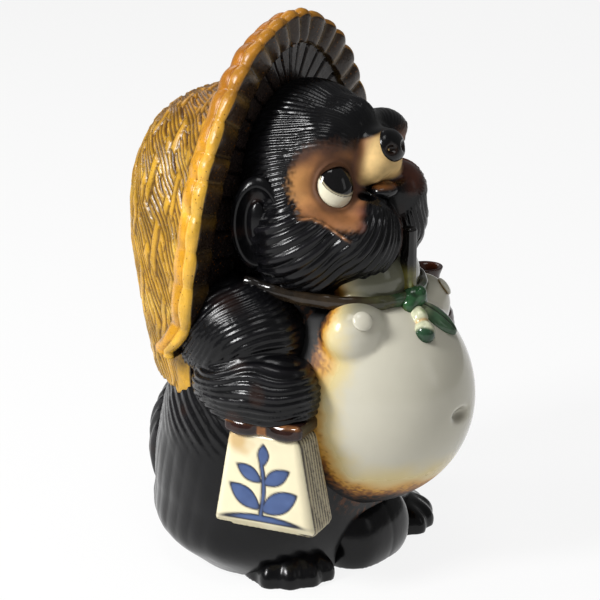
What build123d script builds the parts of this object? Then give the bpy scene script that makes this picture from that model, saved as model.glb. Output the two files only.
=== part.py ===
from build123d import *
import math
import os

# Tanuki figure in glazed stoneware, cast and pressed in pieces that are luted together.
# Millimetres, +Z up. The figure faces -Y and its right hand is on the -X side.

# Clay
wall = 6.0

# Trunk: half width, reach forward and reach back of each station up the back
trunk_axis = 6.0
base_half_width = 54.5
base_front = 39.0
base_back = 52.5
skirt_height = 11.0
skirt_half_width = 67.0
skirt_front = 43.0
skirt_back = 64.0
haunch_height = 34.0
haunch_half_width = 70.5
haunch_front = 48.0
haunch_back = 66.5
waist_height = 72.0
waist_half_width = 67.0
waist_front = 47.0
waist_back = 60.0
chest_height = 104.0
chest_half_width = 57.0
chest_front = 45.0
chest_back = 49.0
neck_height = 138.0
neck_half_width = 42.0
neck_front = 36.0
neck_back = 34.0

# Belly and breasts
belly_height = 81.7
belly_forward = 20.5
belly_half_width = 49.0
belly_half_depth = 63.0
belly_half_height = 55.2
breast_spread = 25.0
breast_forward = 43.0
breast_height = 117.0
breast_half_width = 17.0
breast_half_depth = 14.0
breast_half_height = 15.0
throat_forward = 34.0
throat_height = 136.0
throat_half_width = 26.0
throat_half_depth = 20.0
throat_half_height = 18.0
nipple_out = 10.0
nipple_ahead = 12.0
nipple_up = 11.5
nipple_radius = 5.5
nipple_rise = 2.0
navel_radius = 5.0
navel_depth = 3.0

# Pouch, feet and tail
pouch_spread = 9.0
pouch_forward = 32.0
pouch_height = 14.0
pouch_half_width = 14.0
pouch_half_depth = 16.0
pouch_half_height = 20.0
foot_spread = 35.0
right_foot_forward = 12.0
left_foot_forward = 17.0
foot_half_width = 19.0
foot_half_length = 23.0
foot_rise = 19.0
foot_splay = 36.0
toe_count = 4
toe_radius = 6.5
toe_reach = 18.5
toe_fan = 34.0
tail_back = 68.0
tail_height = 36.0
tail_half_width = 28.0
tail_half_depth = 20.0
tail_half_height = 36.0

# Arms, the right one on the -X side
upper_arm_point = (-45.0, 7.0, 112.0)
upper_arm_half_width = 25.0
upper_arm_half_depth = 31.0
upper_arm_half_height = 26.0
forearm_point = (-53.0, -9.0, 94.0)
forearm_half_width = 21.0
forearm_half_length = 31.0
forearm_half_height = 20.0
paw_point = (-51.0, -32.0, 89.0)
left_paw_point = (56.0, -27.0, 84.0)
paw_half_width = 15.0
paw_half_depth = 14.0
paw_half_height = 15.0

# Account book in the right paw
book_point = (-57.0, -21.5, 32.0)
book_turn = 12.0
book_height = 46.0
book_bottom_width = 50.0
book_top_width = 34.0
book_bottom_depth = 24.0
book_top_depth = 20.0
book_round = 2.5
binding_height = 6.0
binding_overhang = 1.6

# Sake flask in the left paw
flask_point = (57.0, -26.0, 74.0)
flask_foot_radius = 11.0
flask_radius = 15.0
flask_shoulder_height = 22.0
flask_neck_radius = 6.5
flask_neck_height = 42.0
flask_flare_radius = 7.1
flask_lip_radius = 9.0
flask_height = 52.0
flask_mouth_radius = 5.0
flask_mouth_depth = 12.0

# Head
head_height = 172.0
head_forward = 4.0
head_half_width = 40.0
head_half_depth = 33.0
head_half_height = 49.0
head_lean = 9.0
ruff_spread = 23.0
ruff_forward = 17.0
ruff_height = head_height - 17.5
ruff_half_width = 27.0
ruff_half_depth = 25.0
ruff_half_height = 24.0
jowl_spread = 17.0
jowl_forward = 31.0
jowl_height = head_height - 15.0
jowl_half_width = 22.0
jowl_half_depth = 22.0
jowl_half_height = 20.0
eye_spread = 22.5
eye_forward = 30.0
eye_height = head_height + 8.5
eye_out = 18.0
eye_ahead = 26.0
eye_up = 10.0
eye_half_width = 7.5
eye_half_height = 10.0
eye_rise = 4.5
muzzle_forward = 28.0
muzzle_height = head_height + 18.0
muzzle_half_width = 13.0
muzzle_length = 15.5
muzzle_half_height = 12.5
muzzle_tilt = 10.0
nose_half_width = 10.0
nose_thick = 5.5
nose_half_height = 8.5
nose_sink = 1.0
lip_height = head_height + 1.0
lip_forward = 42.0
lip_half_width = 10.0
lip_half_depth = 8.0
lip_half_height = 5.5
ear_spread = 41.0
ear_forward = 2.0
ear_height = head_height - 4.0
ear_half_width = 12.0
ear_half_depth = 7.0
ear_half_height = 20.0
ear_lip = 3.5
ear_swing = 60.0

# Hat
hat_back = 12.0
hat_height = head_height - 35.5
hat_tilt = 4.2
brim_half_width = 70.0
brim_half_height = 113.0
brim_narrowing = 3.6
brim_thickness = 7.0
scallop_count = 44
scallop_rise = 2.0
crown_drop = 7.5
crown_tilt = 15.8
crown_half_width = 57.5
crown_half_height = 90.0
crown_depth = 58.3
crown_fullness = 0.748
crown_skirt = 20.0
crown_end = 84.0
brim_end = 106.0

# Cord of clay round the neck, its knot and its ends
cord_radius = 3.6
cord_side = 46.0
cord_side_height = ear_height - 22.0
knot_point = (0.0, -57.0, 129.5)
knot_half_width = 6.5
knot_half_depth = 5.5
knot_half_height = 5.5
chin_cord_width = 5.0
chin_cord_depth = 7.0
chin_cord_top = 156.0
bud_point = (-5.5, -65.0, 120.0)
bud_length = 19.0
bud_radius = 4.4
bud_lean = 25.0
leaf_point = (6.0, -65.5, 120.0)
leaf_length = 22.0
leaf_half_width = 5.5
leaf_thick = 3.4
leaf_lean = -25.0
end_tilt = -47.0


def ellipsoid(centre, half_sizes, tilt=0.0, lean=0.0, turn=0.0, ball=Rot(0, 0, 90) * Sphere(1)):
    # A ball stretched to three half sizes, tilted about X, leaned about Y and turned about Z
    return Pos(*centre) * Rot(0, 0, turn) * Rot(tilt, lean, 0) * scale(ball, by=half_sizes)


def side_ellipsoid(centre, half_sizes, tilt=0.0):
    # The same form with the ball's poles at its left and right
    return ellipsoid(centre, half_sizes, tilt=tilt, ball=Rot(90, 0, 0) * Rot(0, 90, 0) * Sphere(1))


def largest(shape):
    return max(shape.solids(), key=lambda solid: solid.volume)


def pair(piece):
    # The right-hand piece and its mirror image on the left
    return piece, mirror(piece, about=Plane.YZ)


def egg_section(height, half_width, front, back):
    # Four quarter ovals that share the station's width
    centre = (0, trunk_axis)
    quarters = [(back, 0), (back, 90), (front, 180), (front, 270)]
    arcs = [EllipticalCenterArc(centre, half_width, reach, start, arc_size=90) for reach, start in quarters]
    return Pos(0, 0, height) * make_face(arcs)


def trunk(inset=0.0):
    stations = [
        (0.0, base_half_width, base_front, base_back),
        (skirt_height, skirt_half_width, skirt_front, skirt_back),
        (haunch_height, haunch_half_width, haunch_front, haunch_back),
        (waist_height, waist_half_width, waist_front, waist_back),
        (chest_height, chest_half_width, chest_front, chest_back),
        (neck_height, neck_half_width, neck_front, neck_back),
    ]
    return loft([egg_section(height, width - inset, front - inset, back - inset)
                 for height, width, front, back in stations])


def belly_form(inset=0.0):
    half_sizes = (belly_half_width - inset, belly_half_depth - inset, belly_half_height - inset)
    return ellipsoid((0, -belly_forward, belly_height), half_sizes)


def breast_form():
    half_sizes = (breast_half_width, breast_half_depth, breast_half_height)
    return ellipsoid((-breast_spread, -breast_forward, breast_height), half_sizes)


def head_form(inset=0.0):
    half_sizes = (head_half_width - inset, head_half_depth - inset, head_half_height - inset)
    return ellipsoid((0, -head_forward, head_height), half_sizes, tilt=-head_lean)


def facing_plane(point, direction):
    return Plane(origin=point, x_dir=Vector(*direction).cross(Vector(0, 0, 1)), z_dir=direction)


def facing_ellipsoid(point, direction, half_sizes):
    # A stretched ball whose third half size lies along the direction
    return facing_plane(point, direction).location * scale(Sphere(1), by=half_sizes)


def seat(piece, *carriers):
    # The piece keeps what stands clear of the pieces that carry it
    for carrier in carriers:
        piece = piece - carrier
    return largest(piece)


def offset_point(point, direction, distance):
    start = Vector(*point)
    return start + Vector(*direction).normalized() * distance


def below(level):
    # Everything under a level
    reach = 4 * brim_half_height
    return Pos(0, 0, level - reach / 2) * Box(reach, reach, reach)


# Trunk, belly and head share one hollow, which the shoulders close around the neck
trunk_solid = trunk()
trunk_hollow = trunk(inset=wall) & below(neck_height - wall)
hollow = trunk_hollow + belly_form(inset=wall) + head_form(inset=wall)
breasts = pair(breast_form())
throat_half_sizes = (throat_half_width, throat_half_depth, throat_half_height)
throat = ellipsoid((0, -throat_forward, throat_height), throat_half_sizes)
front_form = belly_form() + breasts[0] + breasts[1] + throat
navel_point = (0, -belly_forward - belly_half_depth, belly_height)
navel = Pos(*navel_point) * scale(Sphere(1), by=(navel_radius, navel_depth, navel_radius))
belly = largest(front_form - navel - hollow)
body = largest(trunk_solid - front_form - hollow)

# Head, hollow and open at the neck, with a fur ruff and a jowl on each side
ruff_half_sizes = (ruff_half_width, ruff_half_depth, ruff_half_height)
ruff = ellipsoid((-ruff_spread, -ruff_forward, ruff_height), ruff_half_sizes)
jowl_half_sizes = (jowl_half_width, jowl_half_depth, jowl_half_height)
jowl = ellipsoid((-jowl_spread, -jowl_forward, jowl_height), jowl_half_sizes)
head_solid = head_form()
for cheek in (*pair(ruff), *pair(jowl)):
    head_solid = head_solid + cheek
head = seat(head_solid, head_form(inset=wall), trunk_solid, front_form)

eye_point = (-eye_spread, -eye_forward, eye_height)
eye_direction = (-eye_out, -eye_ahead, eye_up)
eye_form = facing_ellipsoid(eye_point, eye_direction, (eye_half_width, eye_half_height, eye_rise))
right_eye, left_eye = pair(seat(eye_form, head_solid))
muzzle_half_sizes = (muzzle_half_width, muzzle_length, muzzle_half_height)
muzzle_form = ellipsoid((0, -muzzle_forward, muzzle_height), muzzle_half_sizes, tilt=-muzzle_tilt)
nose_angle = math.radians(muzzle_tilt)
nose_direction = (0, -math.cos(nose_angle), math.sin(nose_angle))
nose_point = offset_point((0, -muzzle_forward, muzzle_height), nose_direction, muzzle_length - nose_sink)
nose_form = facing_ellipsoid(nose_point, nose_direction, (nose_half_width, nose_half_height, nose_thick))
muzzle = seat(muzzle_form, head_solid, right_eye, left_eye)
nose = seat(nose_form, head_solid, muzzle_form)
lip_half_sizes = (lip_half_width, lip_half_depth, lip_half_height)
lip_form = side_ellipsoid((0, -lip_forward, lip_height), lip_half_sizes)
lower_lip = seat(lip_form, head_solid, muzzle_form)

# Account book and its binding
book_place = Pos(*book_point) * Rot(0, 0, book_turn)


def book_section(height, depth, width):
    return Pos(0, 0, height) * Rectangle(depth, width)


book_form = loft([book_section(0, book_bottom_depth, book_bottom_width),
                  book_section(book_height, book_top_depth, book_top_width)])
book_form = book_place * fillet(book_form.edges(), book_round)
binding_form = Pos(0, 0, book_height + binding_height / 2) * Box(
    book_top_depth + 2 * binding_overhang, book_top_width + 2 * binding_overhang, binding_height)
binding_form = book_place * fillet(binding_form.edges(), book_round)
account_book = seat(book_form, trunk_solid, front_form)
book_binding = seat(binding_form, trunk_solid, front_form, book_form)

# Flask, turned about its own axis
neck_point = (flask_neck_radius, flask_neck_height)
flare_point = (flask_flare_radius, (flask_neck_height + flask_height) / 2)
belly_bend = Spline((flask_foot_radius, 0), (flask_radius, flask_shoulder_height), neck_point)
lip_bend = ThreePointArc(neck_point, flare_point, (flask_lip_radius, flask_height))
flask_top = (0, flask_height)
flask_outline = make_face([Line((0, 0), (flask_foot_radius, 0)), belly_bend, lip_bend,
                           Line((flask_lip_radius, flask_height), flask_top), Line(flask_top, (0, 0))])
flask_form = Pos(*flask_point) * revolve(Plane.XZ * flask_outline, Axis.Z)
mouth_top = (flask_point[0], flask_point[1], flask_point[2] + flask_height - flask_mouth_depth / 2)
flask_mouth = Pos(*mouth_top) * Cylinder(flask_mouth_radius, flask_mouth_depth)
flask = seat(flask_form - flask_mouth, trunk_solid, front_form)

# Arms: upper arm, forearm and paw run into each other


def mirrored(point):
    return (-point[0], point[1], point[2])


def arm_form(paw_centre):
    upper_half_sizes = (upper_arm_half_width, upper_arm_half_depth, upper_arm_half_height)
    upper_arm = ellipsoid(upper_arm_point, upper_half_sizes)
    forearm = ellipsoid(forearm_point, (forearm_half_width, forearm_half_length, forearm_half_height))
    return upper_arm + forearm + ellipsoid(paw_centre, (paw_half_width, paw_half_depth, paw_half_height))


arm_carriers = (trunk_solid, front_form, head_solid)
right_arm = seat(arm_form(paw_point), *arm_carriers, book_form, binding_form)
left_arm = seat(mirror(arm_form(mirrored(left_paw_point)), about=Plane.YZ), *arm_carriers, flask_form)

# Hat: scalloped brim and hollow crown, cut by the head, the back and the shoulders
tilt = math.radians(hat_tilt)
hat_direction = (0, math.cos(tilt), math.sin(tilt))
hat_plane = Plane(origin=(0, hat_back, hat_height), x_dir=(1, 0, 0), z_dir=hat_direction)


def rim_point(step, rise=0.0):
    # Egg outline, narrower at the top, where the plane's own Y points down
    angle = 2 * math.pi * step / scallop_count
    half_width = brim_half_width + brim_narrowing * math.sin(angle) + rise
    return (half_width * math.cos(angle), (brim_half_height + rise) * math.sin(angle))


def scallop(step):
    return ThreePointArc(rim_point(step), rim_point(step + 0.5, scallop_rise), rim_point(step + 1))


def crown_form(inset=0.0):
    # Dome turned about its own axis, drawn to an oval, tipped up and cut flush with the brim's back
    reach = crown_half_height - inset
    depth = crown_depth - inset
    bend = Bezier((reach, 0), (reach, depth * crown_fullness), (reach * crown_fullness, depth), (0, depth))
    skirt = Line((reach, -crown_skirt), (reach, 0))
    floor = Line((0, -crown_skirt), (reach, -crown_skirt))
    outline = make_face([bend, Line((0, depth), (0, -crown_skirt)), floor, skirt])
    dome = scale(revolve(Plane.XZ * outline, Axis.Z), by=((crown_half_width - inset) / reach, 1, 1))
    placed = hat_plane.location * Pos(0, crown_drop, brim_thickness) * Rot(-crown_tilt, 0, 0) * dome
    return placed - front_space


front_space = hat_plane.location * Pos(0, 0, brim_thickness - brim_half_height) * Box(
    4 * brim_half_height, 4 * brim_half_height, 2 * brim_half_height)
rim_outline = make_face([scallop(step) for step in range(scallop_count)])
brim_solid = hat_plane.location * extrude(rim_outline, brim_thickness)
hat_carriers = (head_solid, trunk_solid, right_arm, left_arm)
hat_brim = seat(brim_solid, below(brim_end), *hat_carriers)
hat_crown = seat(crown_form() - crown_form(inset=wall), below(crown_end), *hat_carriers)

# Ears, dished on the side that faces out
ear_point = (-ear_spread, -ear_forward, ear_height)
ear_swing_angle = math.radians(ear_swing)
ear_direction = (-math.sin(ear_swing_angle), -math.cos(ear_swing_angle), 0)
ear_form = facing_ellipsoid(ear_point, ear_direction, (ear_half_width, ear_half_height, ear_half_depth))
dish_half_sizes = (ear_half_width - ear_lip, ear_half_height - ear_lip, ear_half_depth)
dish_point = offset_point(ear_point, ear_direction, ear_half_depth)
ear_dish = facing_ellipsoid(dish_point, ear_direction, dish_half_sizes)
right_ear, left_ear = pair(seat(ear_form - ear_dish, head_solid, brim_solid, right_arm))

# Feet, pouch and tail
floor_cut = below(0)


def toe(index, forward):
    spread = (2 * index / (toe_count - 1) - 1) * toe_fan
    angle = math.radians(spread + foot_splay)
    place = (-foot_spread - toe_reach * math.sin(angle), -forward - toe_reach * math.cos(angle), toe_radius)
    return Pos(*place) * Sphere(toe_radius)


def foot_form(forward):
    foot_half_sizes = (foot_half_width, foot_half_length, foot_rise)
    foot = ellipsoid((-foot_spread, -forward, 0), foot_half_sizes, turn=-foot_splay)
    for index in range(toe_count):
        foot = foot + toe(index, forward)
    return foot


right_foot = seat(foot_form(right_foot_forward), floor_cut, trunk_solid, front_form)
left_foot = seat(mirror(foot_form(left_foot_forward), about=Plane.YZ), floor_cut, trunk_solid, front_form)
pouch_half_sizes = (pouch_half_width, pouch_half_depth, pouch_half_height)
lobe = ellipsoid((-pouch_spread, -pouch_forward, pouch_height), pouch_half_sizes)
lobes = pair(lobe)
pouch = seat(lobes[0] + lobes[1], floor_cut, trunk_solid, front_form, right_foot, left_foot)
tail_form = ellipsoid((0, tail_back, tail_height), (tail_half_width, tail_half_depth, tail_half_height))
tail = seat(tail_form, floor_cut, trunk_solid, hat_crown)
account_book = seat(account_book, right_foot)

# Cord, knot and ends
cord_side_point = (-cord_side, 0, cord_side_height)
cord_path = ThreePointArc(cord_side_point, knot_point, mirrored(cord_side_point)).trim(0, 0.5)
cord_start = Plane(origin=cord_path @ 0, z_dir=cord_path % 0)
cord_form = sweep(cord_start * Circle(cord_radius), path=cord_path)
cord_forms = pair(cord_form)
right_cord = seat(cord_forms[0], trunk_solid, front_form, head_solid, right_arm)
left_cord = seat(cord_forms[1], trunk_solid, front_form, head_solid, left_arm)
chin_bottom = knot_point[2]
chin_form = Pos(0, knot_point[1] + chin_cord_depth / 2, (chin_cord_top + chin_bottom) / 2) * Box(
    chin_cord_width, chin_cord_depth, chin_cord_top - chin_bottom)
chin_form = fillet(chin_form.edges().filter_by(Axis.Z), chin_cord_width / 3)
chin_cord = seat(chin_form, front_form, head_solid, lip_form, *cord_forms)
knot_form = ellipsoid(knot_point, (knot_half_width, knot_half_depth, knot_half_height))
cord_knot = seat(knot_form, front_form, *cord_forms, chin_form)
bud_form = ellipsoid(bud_point, (bud_radius, bud_radius, bud_length / 2), lean=bud_lean, tilt=end_tilt)
cord_bud = seat(bud_form, front_form, *cord_forms, knot_form)
leaf_half_sizes = (leaf_half_width, leaf_thick, leaf_length / 2)
leaf_form = ellipsoid(leaf_point, leaf_half_sizes, lean=leaf_lean, tilt=end_tilt)
cord_leaf = seat(leaf_form, front_form, *cord_forms, knot_form, bud_form)

# Sprigs on the breasts
nipple_direction = (-nipple_out, -nipple_ahead, nipple_up)
breast_point = (-breast_spread, -breast_forward, breast_height)


def breast_reach(direction):
    # Distance from the breast's middle to its skin along the direction
    unit = Vector(*direction).normalized()
    return 1 / math.sqrt((unit.X / breast_half_width) ** 2 + (unit.Y / breast_half_depth) ** 2
                         + (unit.Z / breast_half_height) ** 2)


nipple_point = offset_point(breast_point, nipple_direction, breast_reach(nipple_direction))
nipple_form = facing_ellipsoid(nipple_point, nipple_direction, (nipple_radius, nipple_radius, nipple_rise))
right_nipple, left_nipple = pair(seat(nipple_form, front_form, cord_form))

pieces = {
    "body": body,
    "belly": belly,
    "right_nipple": right_nipple,
    "left_nipple": left_nipple,
    "pouch": pouch,
    "right_foot": right_foot,
    "left_foot": left_foot,
    "tail": tail,
    "right_arm": right_arm,
    "left_arm": left_arm,
    "account_book": account_book,
    "book_binding": book_binding,
    "flask": flask,
    "head": head,
    "muzzle": muzzle,
    "nose": nose,
    "lower_lip": lower_lip,
    "right_eye": right_eye,
    "left_eye": left_eye,
    "right_ear": right_ear,
    "left_ear": left_ear,
    "hat_brim": hat_brim,
    "hat_crown": hat_crown,
    "right_cord": right_cord,
    "left_cord": left_cord,
    "chin_cord": chin_cord,
    "cord_knot": cord_knot,
    "cord_bud": cord_bud,
    "cord_leaf": cord_leaf,
}

# The figure stands on its origin, centred on its outer box
boxes = [piece.bounding_box() for piece in pieces.values()]
lowest = [min(tuple(box.min)[axis] for box in boxes) for axis in range(3)]
highest = [max(tuple(box.max)[axis] for box in boxes) for axis in range(3)]
to_origin = Pos(-(lowest[0] + highest[0]) / 2, -(lowest[1] + highest[1]) / 2, -lowest[2])

os.makedirs("parts", exist_ok=True)
for name, piece in pieces.items():
    export_step(to_origin * piece, f"parts/{name}.step")
    print(name, round(piece.volume))
print("box", [round(high - low, 1) for low, high in zip(lowest, highest)], "shift", to_origin.position)
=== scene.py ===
import bpy
import math
import numpy as np
import openvdb
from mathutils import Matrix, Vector


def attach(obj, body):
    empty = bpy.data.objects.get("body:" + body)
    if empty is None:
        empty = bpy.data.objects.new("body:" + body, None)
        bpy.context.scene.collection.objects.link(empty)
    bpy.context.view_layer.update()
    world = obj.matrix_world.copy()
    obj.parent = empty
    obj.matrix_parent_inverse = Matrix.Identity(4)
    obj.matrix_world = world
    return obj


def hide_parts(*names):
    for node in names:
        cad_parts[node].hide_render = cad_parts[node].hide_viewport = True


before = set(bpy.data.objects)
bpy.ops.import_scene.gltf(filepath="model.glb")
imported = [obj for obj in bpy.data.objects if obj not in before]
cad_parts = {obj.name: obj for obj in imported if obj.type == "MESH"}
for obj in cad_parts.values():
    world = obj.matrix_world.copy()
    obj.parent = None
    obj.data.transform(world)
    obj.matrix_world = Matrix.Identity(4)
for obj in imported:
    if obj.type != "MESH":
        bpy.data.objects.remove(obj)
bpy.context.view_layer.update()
print("frame loaded, pieces to dress:", len(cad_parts))

# Shapes are worked out in millimetres about the figure's own axis, then set on the frame
seatShift = np.array((0.0, -2.379, 0.0))


# Numbers and noise

def paintTone(r, g, b):  # screen colour, 0 to 255, as a scene colour
    c = np.array((r, g, b)) / 255.0
    return np.where(c <= 0.04045, c / 12.92, ((c + 0.055) / 1.055) ** 2.4)


def ease(low, high, v):
    t = np.clip((v - low) / (high - low), 0, 1)
    return t * t * (3 - 2 * t)


def palette(**tones):
    return {name: paintTone(*tone) for name, tone in tones.items()}


def layered(tone, *coats):  # coats of paint over a ground, each with its cover from 0 to 1
    for over, cover in coats:
        tone = tone + (over - tone) * np.asarray(cover)[..., None]
    return tone


def scramble(whole, seed):  # whole numbers to 0..1, the same each run
    n = (whole.astype(np.int64) * 374761393 + seed * 668265263) & 0xFFFFFFFF
    n = ((n ^ (n >> 13)) * 1274126177) & 0xFFFFFFFF
    return ((n ^ (n >> 16)) & 0xFFFF) / 65535.0


def cloud(p, size, seed):  # smooth noise, -1 to 1, lumps about size across
    q = p / size
    base = np.floor(q).astype(np.int64)
    f = q - base
    f = f * f * (3 - 2 * f)
    total = 0.0
    for dx in (0, 1):
        for dy in (0, 1):
            for dz in (0, 1):
                share = np.abs(1 - dx - f[..., 0]) * np.abs(1 - dy - f[..., 1])
                weight = share * np.abs(1 - dz - f[..., 2])
                spot = (base[..., 0] + dx) + (base[..., 1] + dy) * 157 + (base[..., 2] + dz) * 7919
                total = total + weight * scramble(spot, seed)
    return total * 2 - 1


# Clay forms as distance fields, negative inside

def axesOf(tilt=0.0, lean=0.0, turn=0.0):
    a, b, c = (math.radians(v) for v in (tilt, lean, turn))
    rx = np.array(((1, 0, 0), (0, math.cos(a), -math.sin(a)), (0, math.sin(a), math.cos(a))))
    ry = np.array(((math.cos(b), 0, math.sin(b)), (0, 1, 0), (-math.sin(b), 0, math.cos(b))))
    rz = np.array(((math.cos(c), -math.sin(c), 0), (math.sin(c), math.cos(c), 0), (0, 0, 1)))
    return rz @ rx @ ry


def facingAxes(direction):  # columns: across, up, out
    out = np.array(direction, float) / np.linalg.norm(direction)
    across = np.cross(out, (0, 0, 1))
    across = across / np.linalg.norm(across)
    return np.stack((across, np.cross(out, across), out), axis=1)


def egg(p, centre, half, axes=None, power=2.0):  # stretched ball, boxier with a higher power
    q = p - np.array(centre, p.dtype)
    if axes is not None:
        q = q @ axes.astype(p.dtype)
    h = np.array(half, p.dtype)
    r = np.abs(q / h) + 1e-6
    size = (r ** power).sum(-1) ** (1 / power)
    slopeLength = size ** (1 - power) * np.sqrt(((r ** (power - 1) / h) ** 2).sum(-1))
    return (size - 1) / np.maximum(slopeLength, 1e-4)


def join(a, b, soft):  # union with a soft crease
    h = np.clip(0.5 + 0.5 * (b - a) / soft, 0, 1)
    return b + (a - b) * h - soft * h * (1 - h)


def takeOut(a, b, soft):
    return -join(-a, b, soft)


def mirrored(p):  # both sides folded onto +x
    return np.concatenate((np.abs(p[..., :1]), p[..., 1:]), axis=-1)


def onSide(p, sign):  # a right-hand form is the left-hand one mirrored
    return p * np.array((sign, 1, 1), p.dtype)


def sideBox(box, sign):
    return np.sort(np.array(box) * (sign, 1, 1), axis=0)


def surfaceOf(field, low, high, step):  # closed quad skin of a field, settled onto its zero
    lines = [np.arange(a - 2 * step, b + 3 * step, step) for a, b in zip(low, high)]
    p = np.stack(np.meshgrid(*lines, indexing="ij"), axis=-1).astype(np.float32)
    values = np.clip(field(p), -4 * step, 4 * step).astype(np.float32)
    grid = openvdb.FloatGrid(4 * step)
    grid.copyFromArray(values)
    points, quads = grid.convertToQuads(isovalue=0.0)
    points = np.array([line[0] for line in lines]) + points.astype(np.float64) * step
    for _ in range(2):
        points = points - slopeOf(field, points) * np.clip(field(points), -step, step)[:, None]
    return points, np.array(quads)[:, ::-1]


def slopeOf(field, p, reach=0.25):  # unit normals
    offsets = np.eye(3) * reach
    g = np.stack([field(p + o) - field(p - o) for o in offsets], axis=-1)
    return g / np.maximum(np.linalg.norm(g, axis=-1, keepdims=True), 1e-9)


# Fur: rounded ridges with cuts between, each ridge broken into tapered strokes

def strokes(across, along, width, length, seed, waver=0.35):
    lane = across / width
    drift = np.stack((lane * 0.35, along / (length * 0.8), np.zeros_like(lane)), axis=-1)
    lane = lane + waver * cloud(drift, 1.0, seed + 5)
    index = np.floor(lane)
    t = lane - index - 0.5
    run = along / length + scramble(index, seed) * 9
    part = np.floor(run)
    q = run - part
    bold = 0.55 + 0.45 * scramble(index * 31 + part * 17, seed + 1)
    taper = 0.55 + 0.45 * ease(0.0, 0.15, q) * ease(1.0, 0.85, q)
    return bold * taper * np.cos(math.pi * t) ** 1.2


# Glazes

def addNode(tree, kind, sockets, **settings):  # a socket takes a plain value or another node's output
    node = tree.nodes.new(kind)
    for name, value in settings.items():
        setattr(node, name, value)
    for socket, value in sockets.items():
        if isinstance(value, bpy.types.NodeSocket):
            tree.links.new(value, node.inputs[socket])
        else:
            node.inputs[socket].default_value = value
    return node


def glaze(name, rough, ior, mottle, mottleSize, ripple, rippleSize, specks=None):
    look = bpy.data.materials.new(name)
    look.use_nodes = True
    tree = look.node_tree
    place = addNode(tree, "ShaderNodeTexCoord", {}).outputs["Object"]
    tint = addNode(tree, "ShaderNodeAttribute", {}, attribute_name="tint")

    def noise(size, detail):
        sockets = {"Scale": 1000.0 / size, "Detail": detail, "Vector": place}
        return addNode(tree, "ShaderNodeTexNoise", sockets).outputs["Fac"]

    cloudy = addNode(tree, "ShaderNodeMapRange", {
        "Value": noise(mottleSize, 4), "From Min": 0.3, "From Max": 0.7,
        "To Min": 1 - mottle, "To Max": 1 + mottle})
    mottled = addNode(tree, "ShaderNodeVectorMath", {
        0: tint.outputs["Color"], "Scale": cloudy.outputs["Result"]}, operation="SCALE")
    colour = mottled.outputs["Vector"]
    if specks:
        dots = addNode(tree, "ShaderNodeTexVoronoi", {
            "Scale": 1000.0 / (specks["size"] * 3.2), "Vector": place})
        reach = addNode(tree, "ShaderNodeMath", {
            0: noise(14.0, 2), 1: specks["share"] * 2}, operation="MULTIPLY")
        inside = addNode(tree, "ShaderNodeMath", {
            0: dots.outputs["Distance"], 1: reach.outputs["Value"]}, operation="LESS_THAN")
        over = addNode(tree, "ShaderNodeMix", {
            "Factor": inside.outputs["Value"], "A": colour, "B": (*specks["tone"], 1)}, data_type="RGBA")
        colour = over.outputs["Result"]
    wear = addNode(tree, "ShaderNodeMapRange", {
        "Value": noise(3.0, 3), "To Min": rough * 0.6, "To Max": rough * 1.5})
    dull = addNode(tree, "ShaderNodeMath", {  # paint with less alpha lies duller
        0: tint.outputs["Alpha"], 1: -0.5, 2: 0.5}, operation="MULTIPLY_ADD")
    worn = addNode(tree, "ShaderNodeMath", {0: wear.outputs["Result"], 1: dull.outputs["Value"]})
    bump = addNode(tree, "ShaderNodeBump", {
        "Height": noise(rippleSize, 2), "Strength": ripple, "Distance": 0.001})
    shade = tree.nodes["Principled BSDF"]
    shade.inputs["IOR"].default_value = ior
    tree.links.new(colour, shade.inputs["Base Color"])
    tree.links.new(worn.outputs["Value"], shade.inputs["Roughness"])
    tree.links.new(bump.outputs["Normal"], shade.inputs["Normal"])
    return look


strawSpecks = {"tone": paintTone(118, 74, 18), "size": 0.6, "share": 0.15}
glazeMixes = {  # roughness, IOR, mottle and its size, ripple and its size
    "fur_glaze": (0.2, 1.35, 0.25, 9.0, 0.10, 4.0),
    "belly_glaze": (0.10, 1.45, 0.04, 30.0, 0.05, 9.0),
    "face_glaze": (0.16, 1.42, 0.12, 6.0, 0.06, 5.0),
    "eye_glaze": (0.06, 1.45, 0.03, 9.0, 0.02, 5.0),
    "straw_glaze": (0.26, 1.4, 0.28, 11.0, 0.22, 2.6, strawSpecks),
    "book_glaze": (0.14, 1.45, 0.05, 16.0, 0.05, 6.0),
    "binding_glaze": (0.08, 1.45, 0.3, 5.0, 0.15, 5.0),
    "flask_glaze": (0.14, 1.45, 0.3, 8.0, 0.08, 5.0),
    "cord_glaze": (0.10, 1.45, 0.3, 3.5, 0.12, 2.5),
}
glazes = {name: glaze(name, *mix) for name, mix in glazeMixes.items()}
print("glazes mixed")


def addPiece(name, points, faces, tint, slot, *nodes):
    mesh = bpy.data.meshes.new(name)
    points = np.column_stack((points[:, :2], np.maximum(points[:, 2], 0)))  # nothing below the floor
    mesh.from_pydata(((points + seatShift) / 1000).tolist(), [], faces)
    mesh.shade_smooth()
    mesh.materials.append(glazes[slot])
    rgba = np.ones((len(points), 4), np.float32)
    rgba[:, :tint.shape[1]] = tint
    mesh.color_attributes.new("tint", "FLOAT_COLOR", "POINT").data.foreach_set("color", rgba.ravel())
    piece = bpy.data.objects.new(name, mesh)
    bpy.context.scene.collection.objects.link(piece)
    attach(piece, "root")
    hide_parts(*nodes)


def tubeFaces(rows, columns):  # quads round a strip of rings, with a cap at each end
    index = np.arange(rows * columns).reshape(rows, columns)
    turn = np.roll(index, -1, axis=1)
    quads = np.stack((index[:-1], turn[:-1], turn[1:], index[1:]), axis=-1).reshape(-1, 4)
    return quads.tolist() + [index[0, ::-1].tolist(), index[-1].tolist()]


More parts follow.
